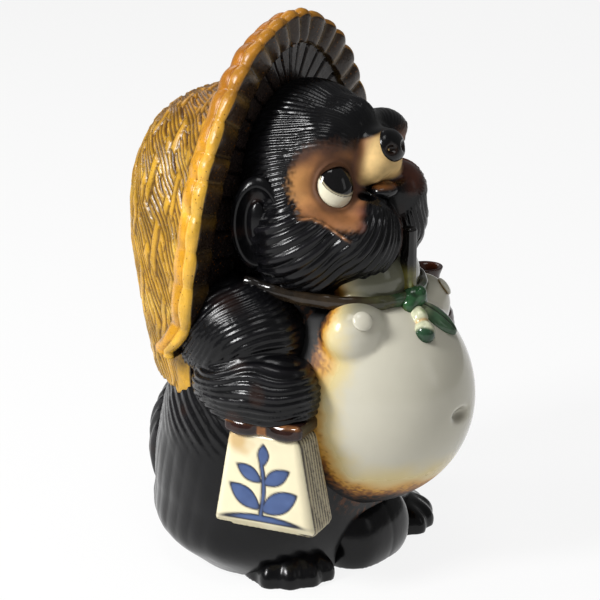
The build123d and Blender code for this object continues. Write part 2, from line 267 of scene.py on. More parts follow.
def sculpt(name, field, box, step, paint, slot, relief=None, nodes=None):
    points, quads = surfaceOf(field, *box, step)
    out = slopeOf(field, points)
    height = relief(points) if relief else np.zeros(len(points))
    print(name, "skin of", len(quads), "faces")
    tint = paint(points, out, height)
    addPiece(name, points + out * height[:, None], quads.tolist(), tint, slot, *(nodes or (name,)))


sides = {"right": -1, "left": 1}


def sculptPair(name, field, spot, reach, step, paint, slot):  # the same form on both sides
    for side, sign in sides.items():
        middle = np.array(spot) * (sign, 1, 1)
        sculpt(side + "_" + name, field, (middle - reach, middle + reach), step, paint, slot)


black = paintTone(9, 9, 11)
softBlack = paintTone(20, 19, 22)
umber = paintTone(52, 30, 20)

# Trunk: an egg-shaped section at each height, hollow and open below

trunk = {
    "axis": 6.0,
    "heights": (0, 11, 34, 72, 104, 138),
    "halfWidths": (54.5, 67, 70.5, 67, 57, 42),
    "fronts": (39, 43, 48, 47, 45, 36),
    "backs": (52.5, 64, 66.5, 60, 49, 34),
    "wall": 6.0,
}


def throughStations(heights, values, z):  # smooth curve through the stations
    fine = np.linspace(heights[0], heights[-1], 200)
    h, v = np.array(heights, float), np.array(values, float)
    slopes = np.gradient(v, h)
    k = np.clip(np.searchsorted(h, fine) - 1, 0, len(h) - 2)
    span = h[k + 1] - h[k]
    t = (fine - h[k]) / span
    curve = ((2 * t ** 3 - 3 * t ** 2 + 1) * v[k] + (t ** 3 - 2 * t ** 2 + t) * span * slopes[k]
             + (3 * t ** 2 - 2 * t ** 3) * v[k + 1] + (t ** 3 - t ** 2) * span * slopes[k + 1])
    return np.interp(z, fine, curve)


def trunkField(p, inset=0.0):
    x, y, z = p[..., 0], p[..., 1] - trunk["axis"], p[..., 2]
    w = throughStations(trunk["heights"], trunk["halfWidths"], z) - inset
    front = throughStations(trunk["heights"], trunk["fronts"], z) - inset
    back = throughStations(trunk["heights"], trunk["backs"], z) - inset
    d = np.where(y < 0, front, back)
    r = np.sqrt((x / w) ** 2 + (y / d) ** 2) + 1e-6
    steep = np.sqrt((x / w ** 2) ** 2 + (y / d ** 2) ** 2) / r
    return np.maximum((r - 1) / np.maximum(steep, 1e-4), z - trunk["heights"][-1])


belly = {
    "ball": ((0, -20.5, 81.7), (49, 63, 55.2)),
    "breast": ((25, -43, 117), (17, 14, 15)),
    "throat": ((0, -34, 136), (26, 20, 18)),
    "navel": ((0, -84.5, 80.0), (6.0, 4.6, 2.6)),
    "navelShade": (6.0, 4.0, 3.2),
}


def bellyField(p, inset=0.0):
    f = join(egg(p, *belly["ball"]), egg(mirrored(p), *belly["breast"]), 2.0)
    f = join(f, egg(p, *belly["throat"]), 5.0)
    return takeOut(f, egg(p, *belly["navel"]), 3.5) + inset


def hollowField(p):
    ball = egg(p, belly["ball"][0], np.array(belly["ball"][1]) - trunk["wall"])
    return np.minimum(trunkField(p, trunk["wall"]), ball)


def bodyField(p):
    f = np.maximum(trunkField(p), -hollowField(p))
    f = np.maximum(f, -bellyField(p, 2.5))
    return np.maximum(f, -p[..., 2])


bodyFur = {  # width, length and seed of the strokes
    "upper": (4.6, 26.0, 41),
    "lower": (9.0, 46.0, 43),
    "back": (4.2, 34.0, 47),
}


def bodyRelief(p):
    x, y, z = p.T
    comb = -0.62 * y + 0.78 * z  # diagonal strokes over the top of the haunch
    upper = strokes(comb, 0.78 * y + 0.62 * z, *bodyFur["upper"]) * ease(56, 74, z) * ease(-14, 4, y)
    lower = strokes(y * 0.9 + x * 0.3 + 0.25 * z, z, *bodyFur["lower"]) * 0.55
    lower = lower * ease(8, 22, z) * ease(70, 52, z) * ease(-4, 16, y)
    back = strokes(np.abs(x), z, *bodyFur["back"]) * ease(46, 58, y) * 0.8
    chest = ease(6, -8, y) * ease(70, 90, z) * cloud(p, 4.5, 4)
    outside = ease(-4.0, -1.0, trunkField(p))
    return outside * (upper * 0.9 + lower * 0.6 + back * 0.7 + 0.35 * cloud(p, 11.0, 3) + 0.9 * chest)


bellyTones = palette(
    white=(203, 199, 182), cream=(216, 198, 142), amber=(206, 150, 52), rust=(120, 70, 32),
    speck=(96, 56, 28), celadon=(108, 108, 90), navel=(70, 60, 44), sprigRim=(120, 96, 48),
)


def bodyPaint(p, out, height):
    beside = ease(9, 2, bellyField(p)) * ease(0.0, 0.5, cloud(p, 1.6, 9))  # rust specks beside the belly
    return layered(
        black,
        (softBlack, ease(0.2, 1.2, height)),
        (umber * 0.8, ease(0.45, 0.9, cloud(p, 13.0, 8)) * 0.5),
        (bellyTones["speck"], beside * 0.7))


sculpt("body", bodyField, ((-73, -45, 0), (73, 76, 139)), 1.1, bodyPaint, "fur_glaze", bodyRelief)

# Belly, breasts and throat in one pale form, burnt brown where the black glaze runs in

def bellySkin(p):
    f = np.maximum(bellyField(p), -hollowField(p))
    return np.maximum(f, -trunkField(p, 2.5))


def bellyPaint(p, out, height):
    x, y, z = np.abs(p[:, 0]), p[:, 1], p[:, 2]
    edge = trunkField(p) - 0.22 * np.maximum(z - 95, 0) * ease(20, 40, x)  # out from the black body
    edge = edge + 1.8 * cloud(p, 7.0, 21) + 0.9 * cloud(p, 1.6, 22)
    edge = np.minimum(edge, (z - 34) * 0.7 + 2.0 * cloud(p, 8.0, 23))
    grainy = edge + cloud(p, 0.9, 25) * 2.6
    # painted shade: the navel's dent is painted dark brown
    dent = egg(p, belly["navel"][0], belly["navelShade"])
    chest = ease(124, 134, z + 2 * cloud(p, 9.0, 27)) * ease(-34, -46, y + 0.3 * (140 - z))
    tone = layered(
        bellyTones["white"],
        (bellyTones["cream"], ease(21, 12, edge)),
        (bellyTones["amber"], ease(14, 7.5, edge)),
        (bellyTones["rust"], ease(9.5, 6.0, grainy) * 0.9),
        (black, ease(6.5, 2.5, grainy)),
        (bellyTones["navel"], ease(1.5, -1.5, dent) * 0.8),
        (bellyTones["celadon"], chest))
    return np.column_stack((tone, ease(2, 20, edge)))


sculpt("belly", bellySkin, ((-50, -85, 25), (50, -8, 156)), 1.0, bellyPaint, "belly_glaze")

nipple = {"direction": (10, -12, 11.5), "half": (4.5, 4.5, 1.8)}
nippleAxes = facingAxes(nipple["direction"])
nippleOut = np.array(nipple["direction"]) / np.linalg.norm(nipple["direction"])
nippleSteep = math.sqrt(((nippleOut / np.array(belly["breast"][1])) ** 2).sum())
nippleSpot = np.array(belly["breast"][0]) + nippleOut / nippleSteep  # on the skin of the breast


def nippleField(p):
    return egg(mirrored(p), nippleSpot, nipple["half"], nippleAxes)


def nipplePaint(p, out, height):
    q = (mirrored(p) - nippleSpot) @ nippleAxes
    return layered(bellyTones["white"], (bellyTones["sprigRim"], ease(0.2, -0.4, q[:, 2])))


sculptPair("nipple", nippleField, nippleSpot, 7, 0.5, nipplePaint, "belly_glaze")

# Head with its ruff, jowls, brow and muzzle

head = {
    "skull": ((0, -4, 172), (40, 33, 49), axesOf(-9.0)),
    "ruff": ((23, -17, 154.5), (27, 25, 24)),
    "rightJowl": ((-14.5, -33, 157.5), (22, 22, 20)),
    "leftJowl": ((15, -29, 160.5), (20, 21, 19)),
    "bridge": ((0, -22.5, 201.5), (13, 12.5, 13.5)),
    "rightBrow": ((-15, -23, 198), (14, 11, 11)),
    "leftBrow": ((18, -26.5, 197), (13.5, 11.5, 11)),
    "muzzle": ((0, -30.5, 190.3), (12.4, 16.2, 13.0), axesOf(-13.0), 2.7),
    "rightPad": ((-11, -37, 166), (12, 13, 9)),
    "leftPad": ((14, -38, 173), (12, 13.5, 14)),
    "socket": ((26, -41, 182), (13, 9, 13)),
    "mouthGap": ((0, -47, 181.5), (8.0, 7.5, 3.6), axesOf(-22.0)),  # over the lower lip
    "mouthCorner": ((12.0, -39.4, 174.2), (3.0, 4.0, 3.2)),
    "cornerShade": (3.6, 4.0, 3.0),
    "bareSnout": ((0, -42, 184), (14, 12, 18)),  # no fur here
    "eye": np.array((22.5, -30.0, 180.5)),
    "eyeFacing": (18, -26, 10),
    "pole": ((0, -10, 177), (0, -0.93, 0.36)),
    "lanes": 100,  # strokes round the head
    "fineFur": (1.0, 30.0, 51, 0.3),
    "boldFur": (1.0, 40.0, 53, 0.3),
    "lidHalf": (8.6, 10.4),
    "wall": 6,
}
photoAcross = np.array((0.588, 0.809, 0.0))  # away from the nose, and up, as the cheek is seen
photoUp = np.array((-0.2365, 0.1718, 0.9563))


def cheekMap(p):  # millimetres back and up from the middle of the eye, same on both sides
    q = mirrored(p) - head["eye"]
    return q @ photoAcross, q @ photoUp


def lidMap(p):  # across, up and out from the middle of the eye
    return (mirrored(p) - head["eye"]) @ facingAxes(head["eyeFacing"])


def headForm(p):
    q = mirrored(p)
    f = join(egg(p, *head["skull"]), egg(q, *head["ruff"]), 6.0)
    for part, soft in (("rightJowl", 3.0), ("leftJowl", 3.0), ("rightBrow", 12.0),
                       ("leftBrow", 4.0), ("bridge", 6.0)):
        f = join(f, egg(p, *head[part]), soft)
    f = takeOut(f, egg(q, *head["socket"]), 7.0)
    for part, soft in (("rightPad", 4.0), ("leftPad", 4.0), ("muzzle", 3.0)):
        f = join(f, egg(p, *head[part]), soft)
    f = takeOut(f, egg(p, *head["mouthGap"]), 1.5)
    return takeOut(f, egg(q, *head["mouthCorner"]), 2.0)


def headField(p):
    centre, half, axes = head["skull"]
    inner = egg(p, centre, np.array(half) - head["wall"], axes)
    return np.maximum(np.maximum(headForm(p), -inner), -trunkField(p, 2.0))


faceEdge = {  # ridge under the eye: back from the eye against height
    "back": (-16.0, -12.5, -6.2, -2.0, 4.4, 10.0, 16.3, 20.0),
    "up": (-22.0, -23.8, -24.6, -21.8, -17.6, -15.1, -15.4, -13.0),
}


def overRidge(back, up):
    return up - np.interp(back, faceEdge["back"], faceEdge["up"])


def faceMask(p, grain=1.6):
    back, up = cheekMap(p)
    wobble = cloud(p, 4.0, 31)
    speckle = grain * cloud(p, 1.1, 32)
    side = np.sqrt((np.maximum(back + 2, 0) / 21.5) ** 2 + ((up - 1) / 21) ** 2)
    inside = ease(1.12, 0.90, side + 0.05 * wobble + 0.06 * speckle)
    inside = inside * ease(-1.5, 2.5, overRidge(back, up) + wobble + speckle - 3 * ease(2, -8, back))
    inside = inside * ease(-14.5, -10.0, back + wobble)
    return inside * ease(21.5, 13.5, up + 0.12 * back + wobble + speckle)


def headRelief(p):
    back, up = cheekMap(p)
    centre, axis = np.array(head["pole"][0]), np.array(head["pole"][1])
    v = p - centre
    sideways, above = v[:, 0], v @ np.cross((1.0, 0, 0), axis)
    down = np.arctan2(np.hypot(sideways, above), v @ axis)
    lanes = np.arctan2(sideways, above) * head["lanes"] / (2 * math.pi)
    fine = strokes(lanes, down * 42, *head["fineFur"])
    bold = strokes(lanes * 0.8, down * 42, *head["boldFur"])
    jowl = ease(-10, -17, up)
    fur = fine * (1 - jowl) * 0.95 + bold * jowl * 1.5
    smoothBrow = ease(17.5, 19.5, up) * ease(38, 30, up) * ease(14, 6, back)
    furry = (1 - faceMask(p, 0.0)) * (1 - 0.7 * smoothBrow) * ease(0.42, 0.6, down)
    furry = furry * (1 - ease(5.0, 3.0, egg(mirrored(p), *head["bareSnout"])))
    ridge = np.exp(-(overRidge(back, up) - 0.3) ** 2) * ease(20, 15, back) * ease(-13, -7, back)
    lid = lidMap(p)
    ring = np.hypot(lid[:, 0] / head["lidHalf"][0], lid[:, 1] / head["lidHalf"][1])
    eyelid = np.exp(-((ring - 1.04) / 0.09) ** 2)
    return ease(-3.0, -1.0, headForm(p)) * (fur * furry + 0.7 * ridge + 0.8 * eyelid)


faceTones = palette(
    tan=(142, 94, 56), sand=(164, 116, 66), brown=(70, 44, 30), red=(96, 54, 40), cream=(222, 188, 128),
    plum=(88, 58, 50), rim=(176, 122, 80),
)


def headPaint(p, out, height):
    x, y, z = p.T
    q = mirrored(p)
    back, up = cheekMap(p)
    spread = cloud(p, 5.0, 33)
    halo = np.hypot((back + 0.5) / 8.6, (up - 0.5) / 10.2)
    skin = layered(
        faceTones["tan"],
        (faceTones["sand"], ease(6, 14, back + 3 * spread) * ease(-14, -4, up) * ease(14, 4, up)),
        (faceTones["brown"], ease(9, 17, up + 0.25 * back + 2 * spread)),
        (faceTones["brown"], ease(1.45, 1.1, halo + 0.1 * spread) * 0.75),
        (faceTones["red"], ease(-7, -13, back + spread) * ease(-6, -11, up)),
        (faceTones["plum"], ease(-6, -10, back) * ease(-8, -2, up) * ease(18, 12, up) * 0.8))
    face = faceMask(p)
    along = (p - np.array(head["muzzle"][0])) @ head["muzzle"][2]
    ahead = along[:, 1] + 0.45 * along[:, 2]
    snout = ease(2.2, 0.4, egg(p, *head["muzzle"])) * ease(-0.5, -7.0, ahead + 1.2 * spread)
    snout = snout * ease(11.5, 9.5, along[:, 2] + 0.5 * spread)
    topLine = 201 - 0.55 * (y + 38)  # black runs down the brow onto the top of the snout
    snout = snout * ease(-13.0, -11.0, along[:, 2]) * ease(0.8, -1.6, z - topLine + spread)
    line = np.exp(-((overRidge(back, up) - 0.3) / 0.6) ** 2) * ease(17, 13, back) * ease(-8, -2, back)
    # the cheek beyond the nose, on the +x side only, is painted a darker red: partly its own red, partly
    # painted shade
    shadedFarCheek = ease(4, 9, x) * ease(171, 181, z + 2 * spread) * ease(196, 190, z) * ease(-34, -40, y)
    # painted shade: the dent at each mouth corner is painted black
    pit = egg(q, head["mouthCorner"][0], head["cornerShade"])
    parting = ease(7.0, 3.0, q[:, 0]) * ease(-44, -50, y) * ease(172, 166, z)  # thin between the jowls
    tone = layered(
        black,
        (softBlack * 1.2, ease(0.5, 1.3, height) * 0.6),
        (skin, face),
        (faceTones["tan"], snout * 0.9),
        (faceTones["cream"], snout * ease(-4.0, -11.0, ahead + spread)),
        (faceTones["rim"], line * 0.7),
        (faceTones["red"] * 0.7, shadedFarCheek * 0.8),
        (black, ease(1.5, -0.5, pit)),
        (umber * 2.2, parting * 0.5))
    return np.column_stack((tone, 1 - 0.8 * np.maximum(face, snout)))


sculpt("head", headField, ((-52, -55, 124), (52, 34, 223)), 0.5, headPaint, "fur_glaze", headRelief,
       ("head", "muzzle"))

# Eyes

eye = {"half": (8.3, 10.2, 5.2), "pupil": (-1.3, 3.2), "pupilHalf": (8.2, 5.6), "slant": 40.0}
eyeTones = palette(
    white=(232, 226, 200), ring=(40, 34, 30), gap=(190, 180, 150), pupil=(12, 11, 12), lid=(70, 48, 34),
)


def eyeField(p):
    return egg(mirrored(p), head["eye"], eye["half"], facingAxes(head["eyeFacing"]))


def eyePaint(p, out, height):
    back, up = cheekMap(p)
    a, b = back - eye["pupil"][0], up - eye["pupil"][1]
    s = math.radians(eye["slant"])
    r = np.hypot((a * math.cos(s) + b * math.sin(s)) / eye["pupilHalf"][0],
                 (-a * math.sin(s) + b * math.cos(s)) / eye["pupilHalf"][1])
    lid = lidMap(p)
    rim = np.hypot(lid[:, 0] / eye["half"][0], lid[:, 1] / eye["half"][1])
    return layered(
        eyeTones["white"],
        (eyeTones["ring"], ease(1.19, 1.15, r)),
        (eyeTones["gap"], ease(1.14, 1.10, r)),
        (eyeTones["pupil"], ease(1.05, 1.0, r)),
        (eyeTones["lid"], ease(0.94, 1.0, rim)))


sculptPair("eye", eyeField, head["eye"], 10, 0.45, eyePaint, "eye_glaze")

# Nose pad with nostrils, and the lower lip

nose = {
    "pad": ((0.6, -43.6, 196.4), (8.0, 4.8, 7.6), axesOf(-24.0), 2.1),
    "nostril": ((4.4, -48.0, 196.0), (2.6, 2.6, 2.0)),
}
lip = {"form": ((0, -41.0, 176.2), (7.6, 6.0, 3.9))}
mouthTones = palette(
    nostril=(60, 40, 28), lip=(112, 70, 36), lipShade=(84, 50, 30),
)


def noseField(p):
    return takeOut(egg(p, *nose["pad"]), egg(mirrored(p), *nose["nostril"]), 1.5)


def nosePaint(p, out, height):
    rim = np.exp(-(egg(mirrored(p), *nose["nostril"]) / 0.9) ** 2)
    return layered(black * 0.8, (mouthTones["nostril"], rim * 0.3))


def lipField(p):
    return egg(p, *lip["form"])


def lipPaint(p, out, height):
    return layered(
        mouthTones["lip"],
        (mouthTones["lipShade"], ease(0.0, 0.7, cloud(p, 4.0, 57)) * 0.6),
        (black * 2, ease(179.0, 177.2, p[:, 2] + 0.5 * cloud(p, 2.5, 58))))


sculpt("nose", noseField, ((-11, -52, 184), (11, -36, 207)), 0.5, nosePaint, "fur_glaze")
sculpt("lower_lip", lipField, ((-11, -52, 169), (11, -33, 181)), 0.5, lipPaint, "face_glaze")

# Ears: a thin rolled rim round a dish

ear = {
    "point": (41, -2, 163.5),
    "half": (12.5, 21.5, 7),
    "rim": 2.6,
    "swing": 60.0,
    "fold": (4.6, 10.5, 3.6),
}
earSwing = math.radians(ear["swing"])
earAxes = facingAxes((math.sin(earSwing), -math.cos(earSwing), 0))


def earField(p):
    q = mirrored(p)
    wide, tall, thick = ear["half"]
    lobe = egg(q, ear["point"], ear["half"], earAxes)
    middle = np.array(ear["point"]) + earAxes[:, 2] * thick
    dish = egg(q, middle, (wide - ear["rim"], tall - ear["rim"], thick + 1.0), earAxes)
    fold = egg(q, middle - earAxes[:, 2] * 6.0, ear["fold"], earAxes)
    return join(takeOut(lobe, dish, 1.2), np.maximum(fold, lobe), 1.5)


def earPaint(p, out, height):
    return layered(black, (umber, ease(0.3, 0.9, cloud(p, 8.0, 61)) * 0.4))


sculptPair("ear", earField, ear["point"], (15, 15, 23), 0.7, earPaint, "fur_glaze")
print("head done")

# Arms: upper arm with raked strokes, forearm with level strokes, and a paw

arm = {
    "upper": ((45, 4.5, 112), (25, 31, 26)),
    "fore": ((53, -9, 94), (21, 31, 20)),
    "right": ((53, -24.5, 88), (15, 13.5, 14)),  # the two paws
    "left": ((56, -27, 84), (15, 14, 15)),
    "rakedFur": (2.6, 30.0, 71, 0.6),
    "levelFur": (3.2, 36.0, 73, 0.6),
    "box": ((18, -48, 66), (76, 40, 141)),
}


def armField(p, paw):
    f = join(egg(p, *arm["upper"]), join(egg(p, *arm["fore"]), egg(p, *paw), 6.0), 2.0)
    return np.maximum(f, -trunkField(p, 3.0))


def armRelief(p):
    x, y, z = p.T
    upper = egg(p, *arm["upper"]) - egg(p, *arm["fore"])
    sway = 2.2 * cloud(p, 17.0, 76)
    comb = 0.69 * y + 0.72 * z + 0.006 * (y - 5) ** 2 + sway
    raked = strokes(comb, 0.72 * y - 0.69 * z, *arm["rakedFur"])
    level = strokes(z + 0.10 * y + 1.2 * sway, y - 0.5 * x, *arm["levelFur"])
    onUpper = ease(1.0, -2.0, upper)
    crease = np.exp(-(upper / 1.6) ** 2)
    shallow = 0.75 + 0.35 * cloud(p, 14.0, 77)
    return shallow * (1.3 * raked * onUpper + 1.4 * level * (1 - onUpper)) - 0.9 * crease


def armPaint(p, out, height):
    rusty = ease(0.35, 0.8, cloud(p, 12.0, 75)) * 0.4
    return layered(black, (softBlack, ease(0.3, 1.3, height)), (umber, rusty))


for side, sign in sides.items():
    sculpt(side + "_arm", lambda p: armField(onSide(p, sign), arm[side]), sideBox(arm["box"], sign), 0.7,
           armPaint, "fur_glaze", lambda p: armRelief(onSide(p, sign)))

# Feet, pouch and tail

feet = {
    "right": 12.0,  # how far forward each stands
    "left": 17.0,
    "spread": 35.0,
    "half": (21, 24, 18),
    "splay": 36.0,
    "toe": (6.4, 10.5, 9.0),
    "toeReach": 15.5,
    "toeFan": 38.0,
    "toes": 4,
    "box": ((10, -45, 0), (66, 16, 21)),
}


def footField(p, forward):
    spread, reach = feet["spread"], feet["toeReach"]
    f = egg(p, (spread, -forward, 0), feet["half"], axesOf(turn=feet["splay"]))
    for i in range(feet["toes"]):
        a = math.radians((2 * i / (feet["toes"] - 1) - 1) * feet["toeFan"] + feet["splay"])
        place = (spread + reach * math.sin(a), -forward - reach * math.cos(a), 3.0)
        f = join(f, egg(p, place, feet["toe"], axesOf(turn=math.degrees(a))), 2.4)
    return np.maximum(f, -p[..., 2])


def footPaint(p, out, height):
    return layered(black, (umber, ease(0.4, 0.9, cloud(p, 10.0, 81)) * 0.4))


for side, sign in sides.items():
    sculpt(side + "_foot", lambda p: footField(onSide(p, sign), feet[side]), sideBox(feet["box"], sign),
           0.75, footPaint, "fur_glaze")

pouch = {"lobe": ((10, -31, 12), (15, 16, 19)), "middle": ((0, -32, 12), (13, 15.5, 19))}


def pouchField(p):
    f = join(egg(mirrored(p), *pouch["lobe"]), egg(p, *pouch["middle"]), 6.0)
    return np.maximum(np.maximum(f, -p[..., 2]), -trunkField(p, 2.0))


sculpt("pouch", pouchField, ((-25, -50, 0), (25, -20, 36)), 0.8, footPaint, "fur_glaze")

tail = {"lobe": ((0, 68, 36), (28, 20, 36)), "fur": (4.4, 38.0, 85)}


def tailField(p):
    return np.maximum(np.maximum(egg(p, *tail["lobe"]), -p[..., 2]), -trunkField(p, 3.0))


def tailRelief(p):
    return 1.3 * strokes(p[:, 0] + 0.12 * (p[:, 2] - 36), p[:, 2], *tail["fur"])


sculpt("tail", tailField, ((-30, 46, 0), (30, 90, 74)), 0.9, armPaint, "fur_glaze", tailRelief)
print("limbs done")

# Hat: pleated brim over a ring of planks, and a woven crown

hat = {
    "origin": np.array((0, 12, 136.5)),
    "tilt": 4.2,
    "halfWidth": 70.0,
    "halfHeight": 113.0,
    "narrowing": 3.6,
    "scallops": 44,
    "scallopRise": 2.0,
}
hatAxes = axesOf(hat["tilt"] - 90.0)


def fromHat(q):  # across, down and back of the hat's own plane to the figure
    return hat["origin"] + q @ hatAxes.T


def toHat(p):
    return (p - hat["origin"].astype(p.dtype)) @ hatAxes.astype(p.dtype)


brim = {
    "perScallop": 18,
    "start": -197.5,  # degrees round the hat
    "stop": 17.5,
    "bendFrom": 124.0,
    "bendTo": 106.0,
    "bend": 0.034,
    "inner": 33.0,
    "ledge": 12.6,
    "petals": (12.2, 1.2),
    "rimRadius": 3.0,
    "bandDepth": 8.0,
    "backFace": 13.0,
}


def brimSection():  # inward from the rim, height above the front face, zone
    planks = np.linspace(brim["inner"], brim["ledge"] + 0.6, 12)
    rows = [(w, 3.2 + (w - 13) * 0.03, "plank") for w in planks]
    rows.append((brim["ledge"], 2.4, "step"))
    for w in np.linspace(*brim["petals"], 14):
        rows.append((w, 0.9 - 0.3 * math.sin((12.2 - w) / 11 * math.pi), "petal"))
    r = brim["rimRadius"]
    for a in np.radians(np.linspace(-70, 80, 9)):
        rows.append((1.6 - r * math.cos(a) * 0.9, 3.6 + r * math.sin(a), "rim"))
    for s in np.linspace(0.08, 1, 14):
        w = 0.6 + 3.6 * s ** 1.4 - 0.6 * math.sin(s * math.pi)
        rows.append((w, 6.4 + brim["bandDepth"] * s, "band"))
    rows.append((7.0, 15.0, "crease"))
    return rows + [(w, brim["backFace"], "under") for w in np.linspace(12, brim["inner"], 5)]


def makeBrim():
    inward, rise, zones = (np.array(column) for column in zip(*brimSection()))
    columns = int(hat["scallops"] * brim["perScallop"] * (brim["stop"] - brim["start"]) / 360)
    a = np.radians(np.linspace(brim["start"], brim["stop"], columns))[:, None]
    step = a / (2 * math.pi) * hat["scallops"]
    step = step + 0.10 * np.sin(a * 7.0) + 0.07 * np.sin(a * 17.0 + 1)  # pressed by hand, so uneven
    t = step - np.floor(step)
    hump = np.sin(math.pi * t)
    lift = hat["scallopRise"] * (hump ** 0.8 - 0.35) * (0.8 + 0.35 * np.sin(a * 11.0))
    wide = hat["halfWidth"] + hat["narrowing"] * np.sin(a)
    nx, ny = np.cos(a) / wide, np.sin(a) / hat["halfHeight"]
    length = np.hypot(nx, ny)
    w = inward - lift * ease(13, 0, inward)
    petal = 2.3 * (hump ** 0.6) * (0.6 + 0.4 * t) - 0.6
    fadeIn = ease(13, 9, inward) * 0.4 + 0.6
    c = rise - np.where(np.isin(zones, ("petal", "step")), petal * fadeIn, 0)
    c = c - np.where((zones == "rim") & (rise < 3.6), petal * 0.6, 0)
    plank = np.floor(step + 0.5)
    pt = step + 0.5 - plank
    gap = np.exp(-((np.minimum(pt, 1 - pt)) / 0.07) ** 2)
    c = c + np.where(zones == "plank", gap * 1.6 + (scramble(plank, 91) - 0.5) * 0.9, 0)
    x = wide * np.cos(a) - nx / length * w
    y = hat["halfHeight"] * np.sin(a) - ny / length * w
    p = fromHat(np.stack((x, y, c), axis=-1))
    sunk = brim["bendFrom"] - np.clip(p[..., 2], brim["bendTo"], brim["bendFrom"])
    back = 0.5 * cloud(p, 10.0, 92) + brim["bend"] * sunk ** 2  # ends curl back
    p = p + back[..., None] * np.array((0, 1, 0))
    tint = brimPaint(p, zones, t, gap)
    addPiece("hat_brim", p.reshape(-1, 3), tubeFaces(*p.shape[:2]), tint, "straw_glaze", "hat_brim")


strawTones = palette(
    gold=(188, 134, 28), light=(222, 182, 76), orange=(140, 78, 16), brown=(74, 46, 14),
    olive=(140, 108, 30), mustard=(134, 100, 34), bark=(50, 36, 24), plank=(42, 34, 31),
    dark=(20, 16, 15), ridge=(104, 84, 50), crown=(178, 134, 34),
)


def brimPaint(p, zones, t, gap):
    z = p[..., 2]
    lump = cloud(p, 9.0, 93)
    topness = ease(170, 235, z + 12 * lump)
    patch = ease(0.1, 0.6, cloud(p, 5.0, 94)) * ease(150, 120, z)  # brown patches low on the band
    edge = layered(
        strawTones["gold"],
        (strawTones["orange"], topness * 0.8),
        (strawTones["light"], ease(0.0, 0.8, lump) * (1 - topness) * 0.7),
        (strawTones["brown"], patch * 0.6),
        (strawTones["light"], (zones == "rim") * 0.45 * (1 - 0.7 * topness)))
    # painted highlight: the later side of each petal is painted mustard against its dark bark
    litFlank = (ease(0.55, 0.9, t) * ease(1.0, 0.94, t)) * (0.55 + 0.45 * lump)
    crest = np.exp(-((t - 0.03) / 0.05) ** 2) * 0.7
    petal = layered(strawTones["bark"], (strawTones["mustard"], litFlank), (strawTones["ridge"], crest))
    plank = layered(strawTones["plank"], (strawTones["dark"], gap))
    lit = ease(150, 190, z)  # painted shade: the lower brim underneath is darkened almost to black
    petal, plank = (layered(strawTones["dark"], (tone, 0.35), (tone, lit)) for tone in (petal, plank))
    isPlank = np.isin(zones, ("plank", "step"))
    isPlank[-1] = True  # the inner edge
    ledge = (strawTones["ridge"], (zones == "step") * 0.5)
    return layered(edge, (petal, zones == "petal"), (plank, isPlank), ledge).reshape(-1, 3)


makeBrim()

crown = {
    "half": (57.5, 90, 58.3),
    "drop": 7.5,
    "behind": 7.0,
    "tilt": -15.8,
    "power": 2.8,
    "end": 84.0,
    "hub": (0, -0.8, 0.6),  # where the strips start, high on the back
    "flare": 0.075,
    "strips": 34,
    "twist": 0.05,
    "ring": 51.0,  # degrees out from the hub to one of the strips laid across
    "ringGap": 15.0,
    "strap": 2.6,  # half the width of a strip laid across
    "strands": (0.16, 0.38, 0.60),  # cuts along each strip
    "slot": 0.88,
}


def domeMap(p):  # into the crown's own axes
    q = toHat(p) - np.array((0, crown["drop"], crown["behind"]), p.dtype)
    return q @ axesOf(crown["tilt"]).astype(p.dtype)


def crownField(p):
    behind = toHat(p)[..., 2]
    q = domeMap(p)
    tuck = 1 - crown["flare"] * ease(30, 12, behind)  # widens to meet the brim
    q = np.stack((q[..., 0] * tuck, q[..., 1] * tuck, q[..., 2]), axis=-1)
    f = egg(q, (0, 0, 0), crown["half"], None, crown["power"])
    f = np.maximum(f, crown["behind"] - 0.8 - behind)
    ragged = 2.0 * cloud(p * np.array((1, 1, 0.15), p.dtype), 4.0, 95)
    return np.maximum(f, crown["end"] + ragged - p[..., 2])


def groove(t, place, width):
    d = np.abs(t - place)
    return np.exp(-(np.minimum(d, 1 - d) / width) ** 2)


def crownWeave(p):  # cuts along the strips and the slots left between them
    n = domeMap(p) / np.array(crown["half"])
    n = n / np.linalg.norm(n, axis=1, keepdims=True)
    hub, across = np.array(crown["hub"]), np.array((1.0, 0, 0))
    around = np.arctan2(n @ np.cross(hub, across), n @ across) / (2 * math.pi)
    out = np.degrees(np.arccos(np.clip(n @ hub, -1, 1)))
    lane = crown["strips"] * (around + crown["twist"] * out / 90) + 0.18 * cloud(p, 13.0, 96)
    t = lane - np.floor(lane)
    pitch = 2 * math.pi * 60 * np.sin(np.radians(np.clip(out, 12, 90))) / crown["strips"]
    wide = 0.5 / pitch
    first, second, third = (groove(t, strand, wide) for strand in crown["strands"])
    fine = np.maximum(first, np.maximum(second, 0.9 * third)) * ease(6, 18, out)
    ring = (out - crown["ring"] + 1.6 * cloud(p, 8.0, 97) + 5 * (t - 0.5)) / crown["ringGap"]
    r = ring - np.round(ring)
    near = np.abs(r) * crown["ringGap"]
    under = ((np.floor(lane) + np.round(ring)) % 2) * ease(0.12, 0.18, t) * ease(0.66, 0.60, t)
    strap = crown["strap"]
    onRing = ease(strap, strap - 0.6, near) * (1 - under)
    cuts = np.maximum(fine * (1 - onRing), 0.95 * np.exp(-((near - 2.2) / 0.45) ** 2) * (1 - under))
    aside = np.abs((t - crown["slot"] + 0.5) % 1 - 0.5)
    share = np.clip((near - strap) / (crown["ringGap"] / 2 - strap), 0, 1)
    span = 0.15 * np.sqrt(share) * (0.35 + 0.65 * ease(150, 190, p[:, 2]))
    slots = ease(span + 0.03, span - 0.05, aside) * ease(0.0, 0.15, share)
    return cuts, slots, onRing


def crownRelief(p):
    cuts, slots, onRing = crownWeave(p)
    behind = toHat(p)[:, 2] - crown["behind"]
    return ease(7.5, 10.0, behind) * (0.25 * onRing - 0.7 * cuts - 1.0 * slots) + 0.3 * cloud(p, 5.0, 99)


